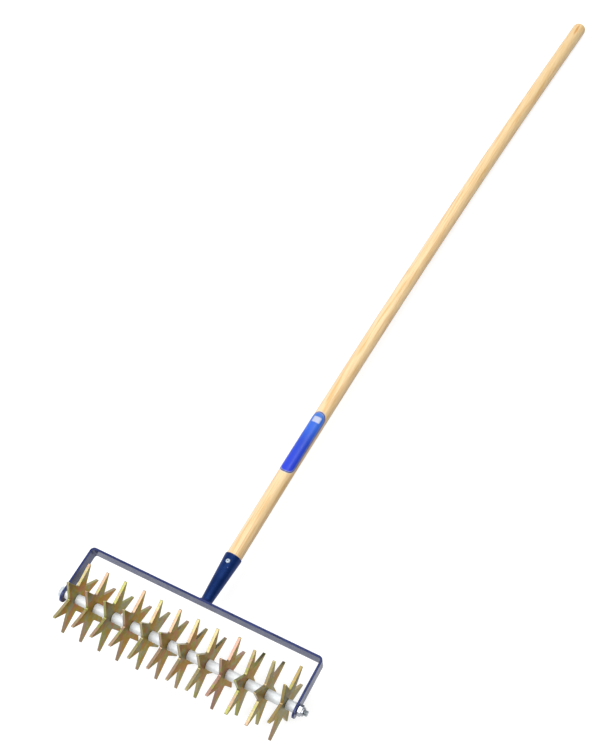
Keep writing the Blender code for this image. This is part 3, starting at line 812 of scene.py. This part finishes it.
class Graph:
    """A node tree, with short ways to add what the finishes and the studio share."""

    def __init__(self, tree):
        self.tree = tree
        self.tree.nodes.clear()

    def add(self, kind, inputs=(), **settings):
        """A new node. Inputs gives values, or other nodes' sockets, by the input's name or number."""
        node = self.tree.nodes.new(kind)
        for name, value in settings.items():
            setattr(node, name, value)
        for name, value in dict(inputs).items():
            self.feed(node.inputs[name], value)
        return node

    def feed(self, socket, value):
        if isinstance(value, bpy.types.NodeSocket):
            self.tree.links.new(value, socket)
        elif socket.type == "RGBA" and len(value) == 3:
            socket.default_value = (*value, 1.0)
        else:
            socket.default_value = value

    def maths(self, operation, *values):
        return self.add("ShaderNodeMath", enumerate(values), operation=operation).outputs[0]

    def span(self, value, low, high, start=0.0, stop=1.0, smooth=False):
        """From low to high while the value goes from start to stop."""
        given = {"Value": value, "From Min": start, "From Max": stop, "To Min": low, "To Max": high}
        kind = "SMOOTHSTEP" if smooth else "LINEAR"
        return self.add("ShaderNodeMapRange", given, interpolation_type=kind).outputs[0]

    def reach(self, x, y):
        """The distance of (x, y) from the origin."""
        squares = self.maths("ADD", self.maths("MULTIPLY", x, x), self.maths("MULTIPLY", y, y))
        return self.maths("SQRT", squares)

    def parts(self, vector):
        return self.add("ShaderNodeSeparateXYZ", {0: vector}).outputs[:]

    def seen_white(self):
        """1 for a ray from the camera or off or through something glossy, else 0."""
        path = self.add("ShaderNodeLightPath")
        seen = path.outputs["Is Camera Ray"]
        for kind in ("Is Glossy Ray", "Is Transmission Ray"):
            seen = self.maths("MAXIMUM", seen, path.outputs[kind])
        return seen


class Finish(Graph):
    """A material. Its place is the point's place in the piece's own frame."""

    def __init__(self, name, laid=None):
        self.material = bpy.data.materials.new(name)
        self.material.use_nodes = True
        super().__init__(self.material.node_tree)
        self.shader = self.add("ShaderNodeBsdfPrincipled")
        self.add("ShaderNodeOutputMaterial", {"Surface": self.shader.outputs[0]})
        self.place = self.add("ShaderNodeTexCoord").outputs["Object"]
        if laid:
            back = laid.inverted()
            self.place = self.mapped(move=back.translation, turn=back.to_euler())

    def set(self, **values):
        for name, value in values.items():
            self.feed(self.shader.inputs[name.replace("_", " ")], value)

    def mapped(self, scale=(1.0, 1.0, 1.0), move=(0.0, 0.0, 0.0), turn=(0.0, 0.0, 0.0)):
        """The place after scaling, turning and moving it."""
        given = {"Vector": self.place, "Scale": scale, "Location": move, "Rotation": turn}
        return self.add("ShaderNodeMapping", given).outputs[0]

    def noise(self, scale, detail=3.0, roughness=0.5, vector=None):
        vector = vector or self.place
        given = {"Vector": vector, "Scale": scale, "Detail": detail, "Roughness": roughness}
        return self.add("ShaderNodeTexNoise", given).outputs["Fac"]

    def ramp(self, value, *stops):
        node = self.add("ShaderNodeValToRGB", {"Fac": value})
        band = node.color_ramp
        while len(band.elements) < len(stops):
            band.elements.new(1.0)
        for element, (position, colour) in zip(band.elements, stops):
            element.position = position
            shade = (colour,) * 3 if isinstance(colour, float) else colour
            element.color = (*shade, 1.0)
        return node.outputs["Color"]

    def cloudy(self, noise, dark, light):
        """A colour that drifts between two."""
        return self.ramp(noise, (0.35, dark), (0.65, light))

    def gloss(self, noise, low, high):
        """Roughness that drifts from low to high."""
        self.set(Roughness=self.ramp(noise, (0.3, low), (0.7, high)))

    def mix(self, factor, first, second):
        given = {"Factor": factor, 6: first, 7: second}
        return self.add("ShaderNodeMix", given, data_type="RGBA").outputs[2]

    def spot(self, centre, core, edge, depth, squeeze=(1.0, 1.0, 1.0)):
        """The depth within the core's radius round a place, fading out to the edge, in squeezed space."""
        middle = tuple(part * share for part, share in zip(centre, squeeze))
        away = self.add("ShaderNodeVectorMath", {0: self.mapped(squeeze), 1: middle}, operation="DISTANCE")
        return self.span(away.outputs["Value"], depth, 0.0, core, edge, smooth=True)

    def bump(self, height, distance):
        node = self.add("ShaderNodeBump", {"Distance": distance, "Height": height})
        self.set(Normal=node.outputs[0])


# Blue enamels: darker and lighter colour, metallic, specular level and its tint, and whether marked
PAINTS = {
    "blue_paint": ((0.008, 0.018, 0.10), (0.014, 0.026, 0.14), 0.2, 0.6, (0.82, 0.87, 1.0)),
    "socket_paint": ((0.004, 0.021, 0.11), (0.009, 0.034, 0.16), 0.35, 0.4, (0.25, 0.34, 0.5), True),
    "weld_paint": ((0.005, 0.014, 0.09), (0.009, 0.021, 0.12), 0.3, 0.2, (0.5, 0.55, 0.7)),
}
PEEL_HEIGHT = 0.00005
MARK_HEIGHT = 0.0667
MARK_TURN = math.radians(21.5)
MARK_RADII = (0.0005, 0.0014)
MARK_DEPTH = 0.7
MARK_COLOUR = (0.16, 0.16, 0.30)

# Plated steels: colour, the lowest and highest roughness, and metallic
STEELS = {
    "spacer_steel": ((0.91, 0.95, 0.98), 0.46, 0.56, 0.2),
    "bolt_steel": ((0.55, 0.60, 0.64), 0.20, 0.32, 1.0),
    # The threaded end: a darker copy of the bolt's steel, painted shade
    "shaded_bolt_thread": ((0.33, 0.37, 0.39), 0.20, 0.32, 1.0),
    # The nut's steel is darkened as painted shade, for the darker surroundings that it reflects
    "nut_steel": ((0.36, 0.375, 0.41), 0.14, 0.26, 1.0),
    "rivet_steel": ((0.46, 0.53, 0.62), 0.42, 0.52, 0.6),
}
STEEL_DARKENING = 0.9
STEEL_MARK_HEIGHT = 0.00001

# Plastics and film: darker colour, lighter colour, roughness and specular level
PLAIN_FINISHES = {
    "nylon": ((0.02, 0.07, 0.09), (0.04, 0.11, 0.14), 0.4, 0.5),
    # The rivet's eye: painted shade, dark for the shade down its hole
    "rivet_eye_shade": ((0.14, 0.17, 0.23), (0.20, 0.24, 0.30), 0.5, 0.5),
    "label_margin": ((0.78, 0.72, 0.82), (0.84, 0.79, 0.88), 0.3, 0.5),
    "label_edge": ((0.006, 0.006, 0.06), (0.010, 0.010, 0.10), 0.4, 0.1),
    "label_line": ((0.32, 0.36, 0.76), (0.40, 0.44, 0.82), 0.4, 0.3),
    "label_panel": ((0.44, 0.49, 0.68), (0.56, 0.60, 0.78), 0.3, 0.5),
}
LABEL_SHADES = (
    (0.0, (0.020, 0.050, 0.70)),
    (0.5, (0.020, 0.070, 0.58)),
    (0.75, (0.034, 0.145, 0.72)),
    (1.0, (0.060, 0.20, 0.60)),
)
LABEL_CLOUD = (0.03, 0.09, 0.7)
LABEL_SPECULAR = 0.3

# Yellow zinc, with each star's own warmth, darkening and edge tint; the edges are paler partly as a painted
# highlight
ZINC_ORANGE = (0.31, 0.155, 0.0)
ZINC_GOLD = (0.28, 0.185, 0.008)
ZINC_OLIVE = (0.24, 0.22, 0.03)
ZINC_GREY = (0.23, 0.22, 0.13)
ZINC_ROSE = (0.33, 0.13, 0.055)
ZINC_TIP = (0.13, 0.12, 0.06)
ZINC_SHEEN = (0.95, 0.89, 0.77)
TIP_START = 0.75 * STAR_TIP_RADIUS
TIP_DULLNESS = 0.35
ZINC_GRAIN_HEIGHT = 0.00002
STAR_WARMTHS = (0.02, 0.0, -0.04, 0.03, -0.03, 0.02, 0.02, 0.01, 0.06, -0.02, -0.03, -0.08)
# How much darker each star is all over, mixed towards the tip colour
STAR_DARKENINGS = (0.0, 0.0, 0.15, 0.05, 0.0, 0.1, 0.0, 0.15, 0.05, 0.05, 0.05, 0.3)
# Edge tints: the cut edges' own colour, paled and brightened partly as a painted highlight
EDGE_HIGHLIGHT_TINTS = {
    "lemon": (0.32, 0.275, 0.14),
    "peach": (0.33, 0.23, 0.15),
    "lime": (0.265, 0.262, 0.085),
    "rose": (0.33, 0.20, 0.155),
    "gold": (0.31, 0.235, 0.09),
}
STAR_EDGES = "lemon peach lime peach lemon peach lemon lemon rose lime lemon gold".split()

# Ash wood: its colours, the place and lean of its pith, its rings, where it is olive or spotted, and a
# painted sheen on its lit left side
WOOD_EARLY = (0.93, 0.68, 0.36)
WOOD_LATE = (0.84, 0.53, 0.22)
WOOD_OLIVE = (0.76, 0.56, 0.28)
# The painted sheen's colour, for the lit left side
WOOD_PAINTED_SHEEN = (0.90, 0.71, 0.50)
WOOD_STREAK = (0.78, 0.46, 0.18)
WOOD_FLAME = (0.72, 0.41, 0.11)
WOOD_SPOT = (0.62, 0.28, 0.05)
WOOD_PORE = (0.55, 0.31, 0.12)
PITH_PLACE = (-0.008, 0.004)
PITH_LEAN = (-0.012, 0.006)
RINGS_PER_METRE = 520.0
RING_WAVES = 7.0
LATE_DEPTH = 0.4
OLIVE_END = (0.8, 1.4)
OLIVE_DEPTH = 0.75
# Where the painted sheen lies across the handle, how strong it is, and how much of it is left at the butt
PAINTED_SHEEN_SIDE = (-0.011, 0.001)
PAINTED_SHEEN_DEPTH = 0.9
PAINTED_SHEEN_AT_BUTT = 0.35
SPOT_PLACE = (0.0385, -0.0140, 1.499)
SPOT_RADII = (0.0013, 0.0032)
SPOT_DEPTH = 0.9
WOOD_SPECULAR = 0.85
PORE_HEIGHT = 0.00004


def paint(name, dark, light, metallic, specular, tint, marked=False):
    """Glossy blue enamel with a slight orange peel, and a small pale mark if it is marked."""
    f = Finish(name, LINE)
    colour = f.cloudy(f.noise(35.0, 2.0), dark, light)
    if marked:
        radius = socket_radius(MARK_HEIGHT)
        mark = (radius * math.sin(MARK_TURN), -radius * math.cos(MARK_TURN), MARK_HEIGHT)
        colour = f.mix(f.spot(mark, *MARK_RADII, MARK_DEPTH), colour, MARK_COLOUR)
    f.set(Base_Color=colour, Metallic=metallic, Specular_IOR_Level=specular, Specular_Tint=tint)
    f.gloss(f.noise(70.0), 0.22, 0.34)
    f.bump(f.noise(700.0, 2.0), PEEL_HEIGHT)
    return f.material


def zinc_yellow(number, place):
    """Gold and olive with rose, orange and grey clouds that differ from star to star, and darker tips."""
    f = Finish(f"zinc_yellow_{number:02d}", place)
    moved = f.mapped(move=(0.37 * number, 0.19 * number, 0.11 * number))
    aside = f.mapped(move=(3.1, 1.7 * number, 0.4))
    warmth, star_darkening = STAR_WARMTHS[number - 1], STAR_DARKENINGS[number - 1]
    cloud = f.maths("SUBTRACT", f.noise(52.0, 2.0, 0.5, moved), warmth)
    base = f.ramp(cloud, (0.41, ZINC_ORANGE), (0.47, ZINC_GOLD), (0.54, ZINC_OLIVE), (0.61, ZINC_GREY))
    rosy = f.maths("ADD", f.noise(62.0, 2.0, 0.5, aside), warmth)
    colour = f.mix(f.ramp(rosy, (0.53, 0.0), (0.62, 0.9)), base, ZINC_ROSE)
    x, y, _ = f.parts(f.place)
    # Mixed towards the tip colour: each star's own darkening all over, and more towards the tips
    tip = f.span(f.reach(x, y), star_darkening, TIP_DULLNESS + star_darkening, TIP_START, STAR_TIP_RADIUS, smooth=True)
    f.set(Base_Color=f.mix(tip, colour, ZINC_TIP), Metallic=1.0, Specular_Tint=ZINC_SHEEN)
    f.gloss(f.noise(160.0, 3.0, 0.6, moved), 0.34, 0.46)
    f.bump(f.noise(1500.0, 2.0, 0.6), ZINC_GRAIN_HEIGHT)
    return f.material


def zinc_edge_and_highlight(number, place):
    """The cut edge, brighter and paler, partly for its thinner chromate and partly as a painted highlight,
    its tint drifting from tine to tine.
    """
    f = Finish(f"zinc_edge_and_highlight_{number:02d}", place)
    moved = f.mapped(move=(0.23 * number, 0.41 * number, 0.13 * number))
    tint, peach, lime = EDGE_HIGHLIGHT_TINTS[STAR_EDGES[number - 1]], EDGE_HIGHLIGHT_TINTS["peach"], EDGE_HIGHLIGHT_TINTS["lime"]
    drift = f.noise(40.0, 2.0, 0.5, moved)
    # Paler than the faces: partly the edge's own colour, partly a painted highlight
    colour = f.ramp(drift, (0.36, peach), (0.45, tint), (0.55, tint), (0.64, lime))
    f.set(Base_Color=colour, Metallic=1.0)
    f.gloss(f.noise(300.0, 3.0, 0.6, moved), 0.28, 0.42)
    return f.material


def bright_steel(name, colour, smooth, rough, metallic):
    """Plated steel with faint cloudy and fine marks."""
    f = Finish(name)
    darker = tuple(channel * STEEL_DARKENING for channel in colour)
    f.set(Base_Color=f.cloudy(f.noise(120.0, 3.0, 0.6), darker, colour), Metallic=metallic)
    f.gloss(f.noise(400.0, 3.0, 0.6), smooth, rough)
    f.bump(f.noise(900.0, 3.0, 0.6), STEEL_MARK_HEIGHT)
    return f.material


def plain(name, dark, light, roughness, specular):
    """Plastic or film, faintly cloudy."""
    f = Finish(name)
    f.set(Base_Color=f.cloudy(f.noise(500.0), dark, light), Specular_IOR_Level=specular)
    f.gloss(f.noise(350.0), roughness, roughness + 0.1)
    return f.material


def grain(squeeze):
    """A scale that draws a pattern out along the handle."""
    return (1.0, 1.0, squeeze)


def ash_wood():
    """Rings round a pith beside the stick, a painted sheen that makes the lit left side paler, and pores
    and streaks along the handle.
    """
    f = Finish("ash_wood", LINE)
    waves = f.noise(38.0, 2.0, 0.5, f.mapped(grain(0.04), (0.4, 0.2, 0.1)))
    across, up, along = f.parts(f.place)
    x = f.maths("MULTIPLY_ADD", along, -PITH_LEAN[0], f.maths("SUBTRACT", across, PITH_PLACE[0]))
    y = f.maths("MULTIPLY_ADD", along, -PITH_LEAN[1], f.maths("SUBTRACT", up, PITH_PLACE[1]))
    rings = f.maths("MULTIPLY_ADD", f.reach(x, y), RINGS_PER_METRE, f.maths("MULTIPLY", waves, RING_WAVES))
    late = f.ramp(f.maths("FRACT", rings), (0.0, 0.0), (0.6, 0.15), (0.93, 1.0), (1.0, 0.0))
    pores = f.noise(1500.0, 2.0, 0.6, f.mapped(grain(0.02)))
    streak = f.noise(520.0, 2.0, 0.5, f.mapped(grain(0.02), (0.0, 0.3, 0.0)))
    flame = f.noise(170.0, 1.0, 0.5, f.mapped(grain(0.06), (0.2, 0.7, 0.0)))
    colour = f.mix(f.maths("MULTIPLY", late, LATE_DEPTH), WOOD_EARLY, WOOD_LATE)
    colour = f.mix(f.span(along, 0.0, OLIVE_DEPTH, *OLIVE_END), colour, WOOD_OLIVE)
    # Painted sheen: the left side, where the light falls, is painted paler, less so towards the butt
    run = f.span(along, 0.0, 1.0, SOCKET_LENGTH, SOCKET_LENGTH + HANDLE_FREE_LENGTH)
    bow = f.maths("MULTIPLY", run, f.maths("MULTIPLY", run, HANDLE_BOW))
    pale = f.span(f.maths("SUBTRACT", across, bow), PAINTED_SHEEN_DEPTH, 0.0, *PAINTED_SHEEN_SIDE, smooth=True)
    pale = f.maths("MULTIPLY", pale, f.span(along, 1.0, PAINTED_SHEEN_AT_BUTT, *OLIVE_END))
    colour = f.mix(pale, colour, WOOD_PAINTED_SHEEN)
    colour = f.mix(f.ramp(streak, (0.47, 0.0), (0.64, 0.85)), colour, WOOD_STREAK)
    colour = f.mix(f.ramp(flame, (0.57, 0.0), (0.69, 0.7)), colour, WOOD_FLAME)
    colour = f.mix(f.spot(SPOT_PLACE, *SPOT_RADII, SPOT_DEPTH, grain(0.15)), colour, WOOD_SPOT)
    colour = f.mix(f.ramp(pores, (0.62, 0.0), (0.8, 0.35)), colour, WOOD_PORE)
    f.set(Base_Color=colour, Roughness=f.ramp(pores, (0.3, 0.38), (0.8, 0.55)))
    f.set(Specular_IOR_Level=WOOD_SPECULAR)
    f.bump(pores, PORE_HEIGHT)
    return f.material


def label_blue():
    """The film's field, lighter towards its head."""
    f = Finish("label_blue", LINE)
    shade = f.ramp(f.span(f.parts(f.place)[2], 0.0, 1.0, LABEL_START, LABEL_END), *LABEL_SHADES)
    colour = f.mix(f.ramp(f.noise(300.0), (0.4, 0.0), (0.7, 0.12)), shade, LABEL_CLOUD)
    f.set(Base_Color=colour, Specular_IOR_Level=LABEL_SPECULAR)
    f.gloss(f.noise(200.0), 0.30, 0.42)
    return f.material


def build_pieces():
    looks = {name: paint(name, *look) for name, look in PAINTS.items()}
    looks |= {name: bright_steel(name, *look) for name, look in STEELS.items()}
    looks |= {name: plain(name, *look) for name, look in PLAIN_FINISHES.items()}
    looks["label_blue"] = label_blue()
    yoke(looks["blue_paint"])
    socket(looks["socket_paint"])
    weld_bead(looks["weld_paint"])
    axle_bolt(looks["bolt_steel"], looks["shaded_bolt_thread"])
    lock_nut(looks["nut_steel"], looks["nylon"])
    axle_stack(looks)
    handle(ash_wood())
    label(looks)
    rivet(looks["rivet_steel"], looks["rivet_eye_shade"])


def camera():
    """Looks from its place at its aim, with the fitted direction upwards."""
    place, aim = TOOL @ Vector(CAMERA_PLACE), TOOL @ Vector(CAMERA_AIM)
    back = (place - aim).normalized()
    right = (TOOL.to_3x3() @ Vector(CAMERA_UP)).cross(back).normalized()
    data = bpy.data.cameras.new("camera")
    data.lens = CAMERA_LENS_MM
    data.sensor_width = SENSOR_MM
    made = add_object("camera", data)
    turn = Matrix((right, back.cross(right), back)).transposed().to_4x4()
    made.matrix_world = Matrix.Translation(place) @ turn
    bpy.context.scene.camera = made


def sky():
    """White for the camera, nearly so for what is glossy, plain for the rest, and dim on the right."""
    world = bpy.data.worlds.new("studio")
    world.use_nodes = True
    bpy.context.scene.world = world
    g = Graph(world.node_tree)
    seen = g.seen_white()
    rightward = g.parts(g.add("ShaderNodeTexCoord").outputs["Generated"])[0]
    dim = g.span(rightward, 0.0, 1.0, *DIM_SIDE_RANGE, smooth=True)
    kept = g.maths("SUBTRACT", 1.0, g.maths("MULTIPLY", dim, g.span(seen, *DIM_SIDE_DEPTH)))
    level = g.maths("MULTIPLY", kept, g.span(seen, *SKY_LEVELS))
    shown = g.add("ShaderNodeLightPath").outputs["Is Camera Ray"]
    strength = g.maths("MAXIMUM", level, shown)
    back = g.add("ShaderNodeBackground", {"Color": (1.0, 1.0, 1.0), "Strength": strength})
    g.add("ShaderNodeOutputWorld", {"Surface": back.outputs[0]})


def floor():
    """A pale floor that the camera sees white and that keeps the tool's shadow."""
    mesh = bpy.data.meshes.new("floor")
    half = FLOOR_SIZE / 2
    corners = [(-half, -half, 0), (half, -half, 0), (half, half, 0), (-half, half, 0)]
    mesh.from_pydata(corners, [], [(0, 1, 2, 3)])
    made = add_object("floor", mesh)
    made.location.z = -FLOOR_DROP
    f = Finish("floor")
    glow = f.maths("MULTIPLY", f.seen_white(), FLOOR_GLOW)
    f.set(Base_Color=(FLOOR_WHITE,) * 3, Roughness=FLOOR_ROUGHNESS, Specular_IOR_Level=0.0)
    f.set(Emission_Color=(1.0, 1.0, 1.0), Emission_Strength=glow)
    mesh.materials.append(f.material)


def soft_boxes():
    """Lamps over the tool that the camera doesn't see, facing down."""
    for name, (place, size, watts) in SOFT_BOXES.items():
        data = bpy.data.lights.new(name, "AREA")
        data.shape = "RECTANGLE"
        data.size, data.size_y = size
        data.energy = watts
        lamp = add_object(name, data)
        lamp.location = place
        lamp.visible_camera = False


build_pieces()
camera()
bpy.context.scene.view_settings.view_transform = "Standard"
sky()
floor()
soft_boxes()
